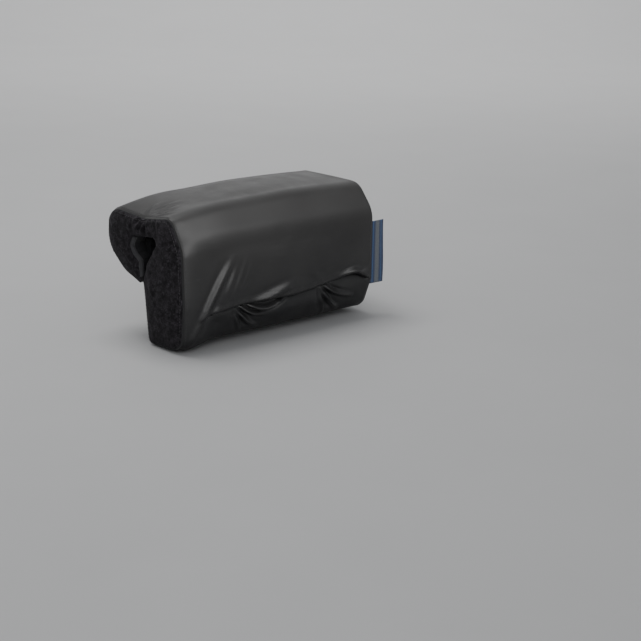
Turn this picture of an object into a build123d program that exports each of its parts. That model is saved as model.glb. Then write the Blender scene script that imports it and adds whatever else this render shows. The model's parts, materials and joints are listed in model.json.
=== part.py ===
"""Wheelchair armrest bolster: a foam-filled wrap folded over an armrest tube and its arm pad.

+X points to the seat, so the long lobe that cushions the hip hangs on that side. +Y runs
rearward along the armrest tube and +Z is up. The origin is on the tube's axis at mid-length.
"""
from build123d import *
import math
import os

os.makedirs("parts", exist_ok=True)

# Whole pad
pad_length = 320.0
front, rear = -pad_length / 2, pad_length / 2
top_z = 61.0
nose_top_z = 50.0       # the top sags in front of the arm pad it lies on
sag_length = 75.0
fold_x = 7.5            # the line on top where the wrap folds open
outer_x = -72.0         # outermost face of the short lobe
hip_x = 86.5            # hip face of the long lobe
drape_bottom_z = -120.0
lip_z = -40.0           # underside of the short lobe, where the wrap closes
drape_back_x = 2.7      # back of the long lobe, at the lip
drape_slope = 0.138     # the back leans towards the seat going down

# What it wraps: a 7/8 in armrest tube under an ordinary arm pad
tube_radius = 11.3
arm_pad_width = 56.0
arm_pad_low_z = 11.0
arm_pad_top_z = 38.0
mouth_depth = 22.0      # the arm pad starts this far behind the front face

# Cloth, foam and closure
skin = 1.2
gusset = 1.5
slit_gap = 0.6
rim_tape = 0.8
rim_tape_depth = 8.0
strap_at = 72.0         # both straps, either side of mid-length
strap_width = 38.0
strap_length = 42.0
webbing = 1.5
hook_loop = 1.5
pile_gap = 0.2

# Zip in the back of the long lobe
zip_down = 56.0         # below the lip, measured down the back
chain_length = 236.0
coil_height = 2.4
coil_width = 1.8
coil_gap = 1.4
tape_width = 7.5
tape_thickness = 0.6
slider_length = 11.0
slider_width = 9.0
slider_plate = 1.0
slider_clearance = 0.3
stop_length = 3.0
bridge_length = 7.0
bridge_width = 1.6
bridge_wall = 1.0
pin_radius = 0.6
pull_length = 26.0
pull_width = 5.0

# Label in the rear seam
label_length = 23.6
label_height = 87.0
label_mid_z = -33.5
label_thickness = 0.8
label_x = 84.6
label_root_y = rear + label_thickness / 2 + 0.1

lean = math.atan(drape_slope)
drape_back = Plane(
    origin=(drape_back_x, 0, lip_z),
    x_dir=(0, 1, 0),
    z_dir=(-math.cos(lean), 0, -math.sin(lean)),
)   # x rearward, y down the back of the long lobe, z out of it


def section_plane(y):
    """Cross-section at y, seen from the front: x to the seat side, y up."""
    return Plane(origin=(0, y, 0), x_dir=(1, 0, 0), z_dir=(0, -1, 0))


def write(part, name):
    part.label = name
    export_step(part, f"parts/{name}.step")


def run(section, y_from, y_to):
    """A cross-section carried straight from one end to the other."""
    with BuildPart() as piece:
        with BuildSketch(section_plane(y_to)):
            add(section)
        extrude(amount=y_to - y_from)
    return piece.part


def rectangle_between(x_low, z_low, x_high, z_high):
    with BuildSketch() as section:
        with Locations(((x_low + x_high) / 2, (z_low + z_high) / 2)):
            Rectangle(x_high - x_low, z_high - z_low)
    return section.sketch


def pad_outline(top, inset):
    """Outline of the closed wrap at one cross-section, taken in by inset."""
    drape_foot_x = drape_back_x + drape_slope * (lip_z - drape_bottom_z)
    corners = {
        (outer_x, top): 30,
        (80, top): 36,
        (hip_x, -50): 120,
        (hip_x - 2.5, drape_bottom_z): 30,
        (drape_foot_x, drape_bottom_z): 15,
        (drape_back_x, lip_z): 0,
        (-4, lip_z + 1): 2,
        (-36, -27): 60,
        (outer_x + 1, -8): 34,
    }
    with BuildSketch() as outline:
        with BuildLine():
            FilletPolyline(*corners.keys(), radius=list(corners.values()), close=True)
        make_face()
        if inset:
            offset(amount=-inset, kind=Kind.INTERSECTION)
    return outline.sketch


def pad_body(inset):
    """The whole closed wrap: a sagging nose, then a straight run to the rear."""
    with BuildPart() as body:
        with BuildSketch(section_plane(front)):
            add(pad_outline(nose_top_z, inset))
        with BuildSketch(section_plane(front + sag_length)):
            add(pad_outline(top_z, inset))
        loft(ruled=True)
        with BuildSketch(section_plane(rear)):
            add(pad_outline(top_z, inset))
        extrude(amount=pad_length - sag_length)
    return body.part


def channel_section(grow):
    """The tube's trough with the arm pad's box above it."""
    half_width = arm_pad_width / 2
    with BuildSketch() as section:
        Circle(tube_radius)
        Polygon((-11, 0), (11, 0), (12.5, arm_pad_low_z + 1), (-12.5, arm_pad_low_z + 1), align=None)
        add(rectangle_between(-half_width, arm_pad_low_z, half_width, arm_pad_top_z))
        if grow:
            offset(amount=grow, kind=Kind.INTERSECTION)
    return section.sketch


def mouth_section(grow):
    """The front gusset's opening: loose round the tube's end and slack down to the lip."""
    corners = {
        (-15, 17): 6,
        (24, 21): 5,
        (29, 14): 5,
        (9, -14): 6,
        (1.5, -34): 0,
        (-1.5, -34): 0,
        (-5, -12.5): 6,
        (-17, -6): 6,
        (-24, 3): 6,
    }
    with BuildSketch() as section:
        with BuildLine():
            FilletPolyline(*corners.keys(), radius=list(corners.values()), close=True)
        make_face()
        if grow:
            offset(amount=grow, kind=Kind.INTERSECTION)
    return section.sketch


def channel_space(grow):
    with BuildPart() as space:
        add(run(mouth_section(grow), front, front + mouth_depth))
        add(run(channel_section(grow), front + mouth_depth - grow, rear))
    return space.part


def slit_space(grow):
    """The closure slit under the tube, from the trough down past the lip."""
    half_width = slit_gap / 2 + grow
    return run(rectangle_between(-half_width, lip_z - 2, half_width, -tube_radius + 1), front, rear)


hip_side = run(
    rectangle_between(fold_x, 0, 120, 90) + rectangle_between(0, -150, 120, 0), front, rear
)
outer_side = run(
    rectangle_between(-120, 0, fold_x, 90) + rectangle_between(-120, -150, 0, 0), front, rear
)
wrap = pad_body(0)
filling = pad_body(skin)
channel = channel_space(0)
lined_channel = channel_space(skin)
slit = slit_space(0)
lined_slit = slit_space(skin)
inner_run = run(rectangle_between(-120, -150, 120, 90), front + gusset, rear - gusset)

with BuildPart() as foam_space:
    add(filling)
    add(lined_slit, mode=Mode.SUBTRACT)
    add(lined_channel, mode=Mode.SUBTRACT)
    add(inner_run, mode=Mode.INTERSECT)

with BuildPart() as cover_space:
    add(wrap)
    add(inner_run, mode=Mode.INTERSECT)
    for hollow in (foam_space.part, lined_channel, slit):
        add(hollow, mode=Mode.SUBTRACT)

with BuildPart() as lining_space:
    add(lined_channel)
    add(inner_run, mode=Mode.INTERSECT)
    for hollow in (channel, slit):
        add(hollow, mode=Mode.SUBTRACT)

with BuildPart() as gusset_space:
    add(wrap)
    for hollow in (inner_run, channel, slit):
        add(hollow, mode=Mode.SUBTRACT)


def drape_back_block(along, along_width, down, down_width, out_low, out_high):
    """A block lying on the back of the long lobe, given by its middle and its depths."""
    with BuildPart() as piece:
        with BuildSketch(drape_back.offset(out_low)):
            with Locations((along, down)):
                Rectangle(along_width, down_width)
        extrude(amount=out_high - out_low)
    return piece.part


# Zip: the cover is cut away over the chain, and the foam has a groove for the slider's back
zip_level = -skin - tape_thickness / 2
groove_floor = zip_level - coil_height / 2 - slider_clearance - slider_plate - 0.5
zip_slot = drape_back_block(0, chain_length + 14, zip_down, 12, -skin - 0.1, 1)
zip_groove = drape_back_block(0, chain_length + 14, zip_down, 12, groove_floor, 1)
tape_run = chain_length + 10
tape_groove = drape_back_block(
    0, tape_run, zip_down, 2 * (tape_width + coil_width + coil_gap / 2), -skin - tape_thickness, -skin
)

# The cover, its lining and its gussets, one piece each side of the fold
for side, side_space in (("hip", hip_side), ("outer", outer_side)):
    with BuildPart() as cover:
        add(cover_space.part)
        add(side_space, mode=Mode.INTERSECT)
        add(zip_slot, mode=Mode.SUBTRACT)
    write(cover.part, f"cover_{side}")

    with BuildPart() as channel_lining:
        add(lining_space.part)
        add(side_space, mode=Mode.INTERSECT)
    write(channel_lining.part, f"channel_lining_{side}")

    for end, y_from in (("front", front), ("rear", rear - gusset)):
        with BuildPart() as end_gusset:
            add(gusset_space.part)
            add(side_space, mode=Mode.INTERSECT)
            add(run(rectangle_between(-120, -150, 120, 90), y_from, y_from + gusset),
                mode=Mode.INTERSECT)
        write(end_gusset.part, f"{end}_gusset_{side}")

# Tape bound round the outer side of the mouth, down into the closure lip
with BuildPart() as mouth_rim_tape:
    add(run(mouth_section(0) - mouth_section(-rim_tape), front, front + rim_tape_depth))
    add(run(rectangle_between(-30, -40, -rim_tape, 14), front, rear), mode=Mode.INTERSECT)
write(mouth_rim_tape.part, "mouth_rim_tape")

# The foam core's blocks
half_box = arm_pad_width / 2 + skin
box_top_z = arm_pad_top_z + skin
box_low_z = arm_pad_low_z - skin
foam_blocks = {
    "foam_top_hip": (hip_side, (0, box_top_z, half_box, 90)),
    "foam_block_hip": (hip_side, (half_box, -150, 120, 90), (0, -150, half_box, lip_z)),
    "foam_cheek_hip": (hip_side, (0, lip_z, half_box, box_top_z)),
    "foam_top_outer": (outer_side, (-half_box, box_top_z, fold_x, 90)),
    "foam_block_outer": (outer_side, (-120, -150, -half_box, 90)),
    "foam_cheek_outer": (outer_side, (-half_box, -150, fold_x, box_top_z)),
}
for name, (side_space, *bounds) in foam_blocks.items():
    with BuildPart() as foam:
        for x_low, z_low, x_high, z_high in bounds:
            add(run(rectangle_between(x_low, z_low, x_high, z_high), front, rear))
        add(foam_space.part, mode=Mode.INTERSECT)
        add(side_space, mode=Mode.INTERSECT)
        for groove in (zip_groove, tape_groove):
            add(groove, mode=Mode.SUBTRACT)
    write(foam.part, name)

# Closure straps: webbing from the lip, its hook patch, and the loop patch on the long lobe
webbing_out = 2 * hook_loop + pile_gap
strap_root_out = webbing_out + webbing / 2
strap_middle = drape_back * Location((0, strap_length / 2, strap_root_out))
for end, y_middle in (("front", -strap_at), ("rear", strap_at)):
    with BuildPart() as strap:
        with BuildSketch(section_plane(y_middle + strap_width / 2)):
            with Locations((strap_middle.position.X, strap_middle.position.Z)):
                SlotCenterToCenter(strap_length, webbing, rotation=math.degrees(lean) - 90)
        extrude(amount=strap_width)
    write(strap.part, f"strap_{end}")

    write(drape_back_block(y_middle, strap_width - 2, 23, 34, webbing_out - hook_loop, webbing_out),
          f"hook_patch_{end}")
    write(drape_back_block(y_middle, strap_width + 6, 24, 40, 0, hook_loop), f"loop_patch_{end}")

# Zip: two tapes, two rows of coil, a stop at each end
tape_middle = coil_gap / 2 + coil_width + tape_width / 2
coil_middle = (coil_gap + coil_width) / 2
with BuildPart() as zip_tapes:
    with BuildSketch(drape_back.offset(zip_level - tape_thickness / 2)):
        with Locations((0, zip_down - tape_middle), (0, zip_down + tape_middle)):
            Rectangle(tape_run, tape_width)
    extrude(amount=tape_thickness)
write(zip_tapes.part, "zip_tapes")

with BuildPart() as zip_coils:
    with BuildSketch(drape_back.offset(zip_level - coil_height / 2)):
        with Locations((0, zip_down - coil_middle), (0, zip_down + coil_middle)):
            Rectangle(chain_length, coil_width)
    extrude(amount=coil_height)
    fillet(zip_coils.edges().filter_by(Axis.Y), radius=0.6)
write(zip_coils.part, "zip_coils")

with BuildPart() as zip_stops:
    with BuildSketch(drape_back.offset(zip_level - coil_height / 2)):
        stop_at = (chain_length + stop_length) / 2
        with Locations((-stop_at, zip_down), (stop_at, zip_down)):
            RectangleRounded(stop_length, 2 * coil_width + coil_gap, 0.8)
    extrude(amount=coil_height)
write(zip_stops.part, "zip_stops")

# Slider: two plates joined by the post that parts the coils, and a bridge for the pull's pin
slider_at = (slider_length - chain_length) / 2 + 0.5
inner_half = coil_height / 2 + slider_clearance
plate_top = zip_level + inner_half + slider_plate
pin_out = plate_top + slider_clearance + pin_radius
bridge_height = 2 * (pin_radius + slider_clearance) + bridge_wall
slider_plane = Plane(
    origin=(drape_back * Location((slider_at, zip_down, 0))).position,
    x_dir=(0, 1, 0),
    z_dir=drape_back.z_dir,
)
slider_side = Plane(
    origin=slider_plane.origin, x_dir=(0, 1, 0), z_dir=-slider_plane.y_dir
)   # x rearward, y out of the long lobe
with BuildPart() as zip_slider:
    for plate_low in (zip_level - inner_half - slider_plate, zip_level + inner_half):
        with BuildSketch(slider_plane.offset(plate_low)):
            RectangleRounded(slider_length, slider_width, 2.5)
        extrude(amount=slider_plate)
    with BuildSketch(slider_plane.offset(zip_level - inner_half)):
        with Locations((-slider_length / 2 + 2.5, 0)):
            RectangleRounded(3.0, coil_gap - 2 * slider_clearance, 0.3)
    extrude(amount=2 * inner_half)
    with BuildSketch(slider_side):
        with Locations((0, plate_top + bridge_height / 2)):
            Rectangle(bridge_length, bridge_height)
        with Locations((0, plate_top + bridge_height / 2 - bridge_wall / 2)):
            Rectangle(
                bridge_length - 2 * bridge_wall, bridge_height - bridge_wall, mode=Mode.SUBTRACT
            )
    extrude(amount=bridge_width / 2, both=True)
write(zip_slider.part, "zip_slider")

# Pull: a flat tab whose eye runs round the bridge
eye_length = math.hypot(bridge_length / 2, pin_radius + slider_clearance + bridge_wall) + 0.4
with BuildPart() as zip_pull:
    with BuildSketch(slider_plane.offset(pin_out - pin_radius)):
        with Locations((pull_length / 2, 0)):
            pull_tab = Rectangle(pull_length, pull_width)
        fillet(pull_tab.vertices().group_by(Axis.X)[-1], radius=pull_width / 2 - 0.2)
        with Locations((eye_length / 2, 0)):
            Rectangle(eye_length, bridge_width + 2 * slider_clearance, mode=Mode.SUBTRACT)
    extrude(amount=2 * pin_radius)
    with BuildSketch(slider_side):
        with Locations((0, pin_out)):
            Circle(pin_radius)
    extrude(amount=pull_width / 2, both=True)
write(zip_pull.part, "zip_pull")

# Label: a folded ribbon caught in the rear seam on the hip side
with BuildPart() as label_tab:
    with BuildSketch(Plane.XY.offset(label_mid_z - label_height / 2)):
        with Locations((label_x, label_root_y + label_length / 2)):
            SlotCenterToCenter(label_length, label_thickness, rotation=90)
    extrude(amount=label_height)
write(label_tab.part, "label_tab")
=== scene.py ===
import json
import math

import bpy
import numpy as np
from mathutils import Matrix, Vector
from mathutils.geometry import delaunay_2d_cdt


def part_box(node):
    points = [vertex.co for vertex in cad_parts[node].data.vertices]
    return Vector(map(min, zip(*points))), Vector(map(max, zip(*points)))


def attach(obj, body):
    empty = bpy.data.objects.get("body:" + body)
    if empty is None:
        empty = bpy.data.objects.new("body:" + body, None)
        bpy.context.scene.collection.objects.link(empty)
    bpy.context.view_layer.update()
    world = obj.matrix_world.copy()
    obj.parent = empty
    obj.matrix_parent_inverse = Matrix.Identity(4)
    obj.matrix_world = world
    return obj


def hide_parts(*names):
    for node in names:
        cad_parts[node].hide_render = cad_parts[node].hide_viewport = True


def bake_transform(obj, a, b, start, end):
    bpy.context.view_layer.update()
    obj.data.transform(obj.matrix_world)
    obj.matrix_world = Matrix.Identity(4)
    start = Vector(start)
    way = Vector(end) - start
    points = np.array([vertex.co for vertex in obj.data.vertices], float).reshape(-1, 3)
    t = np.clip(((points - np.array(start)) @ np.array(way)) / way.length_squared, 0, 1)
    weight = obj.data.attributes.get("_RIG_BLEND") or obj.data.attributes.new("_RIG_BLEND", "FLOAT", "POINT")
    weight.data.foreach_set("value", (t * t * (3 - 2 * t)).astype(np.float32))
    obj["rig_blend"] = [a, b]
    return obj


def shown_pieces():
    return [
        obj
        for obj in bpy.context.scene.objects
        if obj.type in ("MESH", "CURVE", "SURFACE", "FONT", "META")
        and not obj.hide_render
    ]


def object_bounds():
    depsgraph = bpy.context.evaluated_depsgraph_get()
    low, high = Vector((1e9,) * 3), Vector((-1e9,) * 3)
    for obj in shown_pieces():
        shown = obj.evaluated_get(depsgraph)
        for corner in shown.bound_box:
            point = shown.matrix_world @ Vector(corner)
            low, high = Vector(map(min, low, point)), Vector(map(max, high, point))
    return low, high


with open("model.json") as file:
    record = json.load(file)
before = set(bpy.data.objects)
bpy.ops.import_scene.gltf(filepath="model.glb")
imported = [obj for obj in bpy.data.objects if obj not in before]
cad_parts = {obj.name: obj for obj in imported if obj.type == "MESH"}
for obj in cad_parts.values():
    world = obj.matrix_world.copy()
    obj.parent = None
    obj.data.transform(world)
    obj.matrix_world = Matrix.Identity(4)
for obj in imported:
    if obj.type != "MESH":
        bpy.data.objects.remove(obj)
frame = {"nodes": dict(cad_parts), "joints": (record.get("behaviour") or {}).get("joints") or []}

cad_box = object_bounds()
norm = np.linalg.norm
MM = 0.001

# ---- places, from the frame
joints = {j["name"]: j for j in frame["joints"]}
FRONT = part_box("front_gusset_hip")[0].y
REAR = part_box("rear_gusset_hip")[1].y
FOLD_X, _, TOP_Z = joints["outer_flap_fold"]["pos_m"]
FLOOR_Z = cad_box[0].z
FOLD_HALF = 0.022        # the cloth bends over this much each side of the fold line
LOBES_BELOW = 0.012      # under this height the two lobes are apart
NOSE_LENGTH = 0.088      # from the front, the section grows to its full size over this length
ROW_STEP = 0.0020        # between the cover's rows
CLOTH = 0.0009           # thickness of the cover, the gussets and the lining


def smooth(value, low, high):
    t = np.clip((value - low) / (high - low), 0, 1)
    return t * t * (3 - 2 * t)


def unit(vectors):
    return vectors / np.maximum(norm(vectors, axis=-1, keepdims=True), 1e-9)


def spaced(count, chosen):
    """About that many indices below count, evenly spread."""
    return np.unique(np.round(np.linspace(0, count - 1, chosen)).astype(int))


def run_along(line):
    """The length of a line up to each of its points."""
    return np.concatenate([[0], np.cumsum(norm(np.diff(line, axis=0), axis=1))])


# ---- cross-sections
# Corners (x, z, radius) in millimetres, from the closure slit's outer side round to its seat side.
NOSE = [
    (-1.5, -34, 0), (-1.5, -44, 3), (-38, -34, 50), (-74, -5.5, 38), (-74.5, 47.8, 26),
    (4, 43.4, 4), (60, 52.6, 20), (83.5, 14, 45), (88.5, -55, 90), (84, -119, 34),
    (12.2, -119.5, 12), (9.8, -101.4, 0), (8.1, -89.5, 0), (1.6, -42, 3), (1.5, -40, 1), (1.5, -34, 0),
]
BODY = [
    (-0.3, -11, 0), (-0.3, -39.2, 2.5), (-36, -27.5, 60), (-72.5, -7, 36), (-74, 59.5, 30),
    (8, 60.5, 120), (58, 60.5, 28), (88, 26, 38), (88.5, -64, 8), (73, -112, 22),
    (12.9, -113.5, 9), (11.18, -101.4, 0), (9.54, -89.5, 0), (2.84, -41, 2), (0.3, -40.5, 1), (0.3, -11, 0),
]
MOUTH = [
    (-1.5, -34, 0), (-5, -12.5, 5), (-17, -6, 6), (-24, 3, 6), (-15, 17, 6), (24, 21, 5),
    (29, 14, 5), (19, 0, 20), (9, -14, 6), (1.5, -34, 0),
]
CHANNEL = [
    (-0.3, -11.3, 0), (-11.3, -11.3, 11.3), (-12.2, 11, 1), (-28, 11, 2), (-28, 38, 3),
    (28, 38, 3), (28, 11, 2), (12.2, 11, 1), (11.3, -11.3, 11.3), (0.3, -11.3, 0),
]
STEP = [  # clear of both the mouth and the channel
    (-2.5, -34, 0), (-12, -13, 5), (-21, -9, 6), (-30, 3, 6), (-30, 40, 3),
    (31, 40, 3), (31, 9, 3), (22, -2, 8), (12, -14, 6), (2.5, -34, 0),
]


def straight(p, q):
    return lambda t: p + (q - p) * t


def pieces_of(corners):
    """The straight runs and arcs of a rounded path, each as a function of 0..1 and its length."""
    points = [np.array(c[:2], float) for c in corners]
    made, start = [], points[0]
    for i in range(1, len(points) - 1):
        before, after = points[i - 1] - points[i], points[i + 1] - points[i]
        len_b, len_a = norm(before), norm(after)
        u, v = before / len_b, after / len_a
        half = math.acos(np.clip(u @ v, -1, 1)) / 2
        reach = min(corners[i][2] / max(math.tan(half), 1e-6),
                    (0.48 if i > 1 else 0.95) * len_b,
                    (0.48 if i < len(points) - 2 else 0.95) * len_a)
        a, b = points[i] + u * reach, points[i] + v * reach
        made.append((straight(start, a), norm(a - start)))
        radius, middle = reach * math.tan(half), u + v
        size = norm(middle)
        if size < 1e-6 or radius < 1e-3:
            made.append((straight(a, b), 0.0))
        else:
            centre = points[i] + middle / size * (radius / math.sin(half))
            first, last = a - centre, b - centre
            turn = math.atan2(first[0] * last[1] - first[1] * last[0], first @ last)

            def arc(t, centre=centre, first=first, turn=turn):
                c, s = math.cos(turn * t), math.sin(turn * t)
                return centre + np.array([first[0] * c - first[1] * s, first[0] * s + first[1] * c])
            made.append((arc, abs(turn) * radius))
        start = b
    made.append((straight(start, points[-1]), norm(points[-1] - start)))
    return made


def counts_for(corners, spacing):
    """How many steps each piece of the path gets, for a spacing in millimetres."""
    return [
        max(1, round(length / spacing(i // 2))) if length > 1e-9 else 0
        for i, (_, length) in enumerate(pieces_of(corners))
    ]


def sampled(corners, counts):
    out = []
    for (place, _), n in zip(pieces_of(corners), counts):
        out += [place(k / n) for k in range(n)]
    out.append(np.array(corners[-1][:2], float))
    return np.array(out) * MM


def in_space(flat, y):
    """Points of (x, z) placed at y, which is one number or one for each."""
    return np.stack([flat[:, 0], np.full(len(flat), y), flat[:, 1]], 1)


def mixed(first, second, share):
    return [tuple(a + (b - a) * share for a, b in zip(p, q)) for p, q in zip(first, second)]


# ---- the cover's shape
TUCK_LINE = [  # where the hip face creases over the tuck: (y, z) in millimetres
    (-160, -84), (-132, -80), (-114, -74), (-70, -69.5), (-40, -69), (15, -71), (50, -68),
    (74, -65), (100, -61), (118, -57.5), (133, -58.5), (150, -67), (160, -71),
]
PINCHES = (-70, 74)      # the straps pull the cover in at these two places
TOP_CORNERS = (4, 5, 6)
CREASE_CORNER, FOOT_CORNER = 8, 9
HIP_X = 88.4
NOSE_CREASE = 60         # the nose has no crease, and its corner sits this far down


def tuck_z(y):
    table = np.array(TUCK_LINE, float) * MM
    near = [np.interp(y + shift, table[:, 0], table[:, 1]) for shift in (-0.008, 0, 0.008)]
    return sum(near) / 3


def crown(y):
    """The top rises a little behind the middle of the pad."""
    return 3.4 * math.exp(-((y / MM - 45) / 88) ** 2)


def section_at(y):
    """The cover's corners at y."""
    share = 1 - (1 - np.clip((y - FRONT) / NOSE_LENGTH, 0, 1)) ** 2.05
    corners = [list(c) for c in mixed(NOSE, BODY, share)]
    for i in TOP_CORNERS:
        corners[i][1] += crown(y)
    untucked = 1 - smooth(y, FRONT + 0.012, FRONT + 0.062)
    crease_z = tuck_z(y) / MM * (1 - untucked) - NOSE_CREASE * untucked
    foot = [72 + 12 * untucked, -112.5 - 6.5 * untucked, 20 + 10 * untucked]
    lean_in = (foot[0] - HIP_X) / (foot[1] - crease_z)
    corners[FOOT_CORNER] = foot
    corners[CREASE_CORNER:FOOT_CORNER] = [
        [HIP_X - 0.4 * untucked, crease_z + 14, 0],
        [HIP_X, crease_z, 5 + 20 * untucked],
        [HIP_X - 15 * lean_in, crease_z - 15, 0],
    ]
    slit = smooth(y, FRONT + 0.018, FRONT + 0.024)
    corners[0] = [-1.5 + 1.2 * slit, -34 + 23 * slit, 0]
    corners[-1] = [1.5 - 1.2 * slit, -34 + 23 * slit, 0]
    return corners


def fineness(part):
    """The spacing of stations, in millimetres: closest together at the crease."""
    return {4: 3.0, 5: 3.0, 6: 2.4, 7: 1.9, 8: 0.8, 9: 0.8, 10: 1.6, 11: 3.4}.get(part, 4.5)


COVER_COUNTS = counts_for(section_at(0.0), fineness)
LIP_OUT = COVER_COUNTS[0] + COVER_COUNTS[1] // 2
LIP_HIP = sum(COVER_COUNTS[:-2]) - COVER_COUNTS[-3] // 2
ZIP_PIECE = 26           # the straight run of the outline that lies over the zip
SLOT_FROM, SLOT_TO = sum(COVER_COUNTS[:ZIP_PIECE]), sum(COVER_COUNTS[:ZIP_PIECE + 1])


def rows_between(low, high, spacing):
    return np.linspace(low, high, max(2, round((high - low) / spacing) + 1))


def grid_normals(points):
    """Outward normals of a grid [station, row] whose stations run clockwise seen from the front."""
    return unit(np.cross(np.gradient(points, axis=0), np.gradient(points, axis=1)))


def section_normals(points):
    """Outward normals of a grid, within each cross-section."""
    along = np.gradient(points, axis=0)
    return unit(np.stack([-along[..., 2], 0 * along[..., 1], along[..., 0]], -1))


def bump_at(y, z, at, size, height, tilt=0.0):
    """A soft mound of that height, in the same units as y and z, with its tilt in degrees."""
    c, s = math.cos(math.radians(tilt)), math.sin(math.radians(tilt))
    a = (y - at[0]) * c + (z - at[1]) * s
    b = -(y - at[0]) * s + (z - at[1]) * c
    return height * np.exp(-(a / size[0]) ** 2 - (b / size[1]) ** 2)


def ridge_along(y, z, start, middle, end, height, width, valley):
    """A pulled fold along a curve: a ridge with a valley each side of it."""
    t = np.linspace(0, 1, 30)[:, None]
    curve = (1 - t) ** 2 * np.array(start) + 2 * t * (1 - t) * np.array(middle) + t ** 2 * np.array(end)
    gap, place = np.full(y.shape, 1e9), np.zeros(y.shape)
    for k in range(len(curve) - 1):
        run = curve[k + 1] - curve[k]
        dy, dz = y - curve[k, 0], z - curve[k, 1]
        part = np.clip((dy * run[0] + dz * run[1]) / (run @ run), 0, 1)
        d = np.hypot(dy - part * run[0], dz - part * run[1])
        nearer = d < gap
        gap = np.where(nearer, d, gap)
        place = np.where(nearer, t[k, 0] + part * (t[1, 0] - t[0, 0]), place)
    fade = np.sin(np.pi * np.clip(place, 0.02, 0.98)) ** 0.8
    return height * fade * (
        np.exp(-(gap / width) ** 2) - valley * np.exp(-((gap - 1.8 * width) / width) ** 2)
    )


def ridges(y, z, table, valley=0.45):
    return sum(ridge_along(y, z, *fold, valley) for fold in table)


# Pulled folds of the hip face above the tuck: start, middle, end as (y, z), height, width, in millimetres
FOLDS = [
    ((-84, -4), (-110, -32), (-150, -112), 3.0, 4.4),
    ((-78, -10), (-86, -30), (-98, -58), 0.8, 2.8),
    ((-63, -6), (-72, -26), (-90, -66), 0.75, 2.8),
    ((-56, -12), (-62, -30), (-80, -62), 0.5, 2.6),
    ((-52, -66), (-24, -61), (18, -48), 2.2, 4.0),
    ((98, -58), (116, -49), (150, -52), 1.8, 3.6),
    ((40, -36), (60, -50), (74, -62), 1.0, 5.0),
]
# The same below the tuck, gathered at the two pinches
TUCK_FOLDS = [
    ((-64, -66), (-26, -91), (12, -66), 6.4, 2.5),
    ((-72, -68), (-57, -84), (-27, -87), 5.0, 2.4),
    ((-76, -70), (-64, -91), (-34, -103), 5.0, 2.5),
    ((-78, -72), (-73, -88), (-62, -106), 2.6, 2.4),
    ((72, -64), (92, -81), (132, -89), 5.6, 2.6),
    ((70, -64), (80, -88), (110, -104), 6.0, 2.5),
    ((69, -66), (74, -88), (84, -108), 3.0, 2.4),
]
# Soft mounds of the hip face: place (y, z), size along and across, height, tilt in degrees
MOUNDS = [
    ((-10, -60), (30, 7.0), 4.8, 13),
    ((126, -51), (17, 5.5), 5.0, -4),
    ((40, -60), (36, 7), 2.2, 6),
    ((-104, -86), (14, 10), -2.6, 0),
    ((4, -92), (30, 9), 2.2, 3),
    ((60, -86), (10, 16), 1.6, 0),
    ((112, -96), (22, 8), -1.6, 0),
]
# Small folds of the top, spreading back from the notch: start, middle, end as (x, y back from the front)
NOTCH_FOLDS = [
    ((6, 1), (-6, 16), (-12, 40), 1.2, 3.4),
    ((7, 2), (4, 22), (6, 58), 1.6, 3.6),
    ((9, 2), (18, 16), (22, 44), 1.4, 3.2),
    ((11, 3), (28, 10), (40, 24), 0.9, 3.0),
]


def sculpt(points):
    """Adds the tuck's crease, the pinches, the folds and the soft unevenness of foam under vinyl."""
    normals = grid_normals(points)
    x, y, z = points[..., 0] / MM, points[..., 1] / MM, points[..., 2] / MM
    on_hip = smooth(x, 52, 66) * smooth(z, -119, -108)
    above = z - tuck_z(points[..., 1]) / MM
    near_end = smooth(y, FRONT / MM + 16, FRONT / MM + 52) * (1 - 0.75 * smooth(y, 146, 160))
    depth = 5.4 + 1.6 * sum(np.exp(-((y - p) / 13) ** 2) for p in PINCHES)
    depth += 1.8 * np.exp(-((y - 124) / 14) ** 2)
    over, under = np.exp(-np.maximum(above, 0) / 1.2), np.minimum(above, 0)
    crease = -over * (depth * np.exp(under / 6.0) + 4.5 * np.exp(under / 1.5))
    roll = 2.0 * np.exp(-((above - 5) / 4.5) ** 2)
    push = near_end * (crease + roll)
    for p in PINCHES:
        push += bump_at(y, above, (p, -9), (12, 10), -2.6)
    for mound in MOUNDS:
        push += bump_at(y, z, *mound)
    push += ridges(y, z, FOLDS) + ridges(y, z, TUCK_FOLDS) * smooth(-above, 0.5, 4)
    on_top = smooth(z, 30, 42) * (1 - smooth(np.abs(x - 7), 40, 60))
    back = y - FRONT / MM
    top_push = ridges(x, back, NOTCH_FOLDS)
    uneven = 0.35 * np.sin(x / 23 + y / 41) * np.sin(z / 19 - y / 31 + 1.3)
    total = on_hip * push + on_top * top_push * smooth(back, 0, 8) + uneven
    at_seam = 1 - smooth(np.minimum(back, REAR / MM - y), 0, 7)
    total *= 1 - 0.85 * at_seam
    return points + normals * (total * MM)[..., None]


def cover_grid():
    rows = rows_between(FRONT, REAR, ROW_STEP)
    return np.stack([in_space(sampled(section_at(y), COVER_COUNTS), y) for y in rows], 1)


def roll_ends(points):
    """The cover rolls in towards its end seams, most of all at the front of the hip side."""
    to_end = np.minimum(points[..., 1] - FRONT, REAR - points[..., 1])
    side = smooth(points[..., 0], 0.050, 0.078) * (points[..., 1] < 0)
    share = np.clip(1 - to_end / (0.006 + 0.018 * side), 0, 1)
    inset = (0.0018 + 0.0028 * side) * (1 - np.sqrt(1 - share ** 2))
    station = np.arange(points.shape[0])
    outer = smooth(station, LIP_OUT - 2, LIP_OUT + 6) * (1 - smooth(station, LIP_HIP - 6, LIP_HIP + 2))
    return points - grid_normals(points) * (inset * outer[:, None])[..., None]


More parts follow.
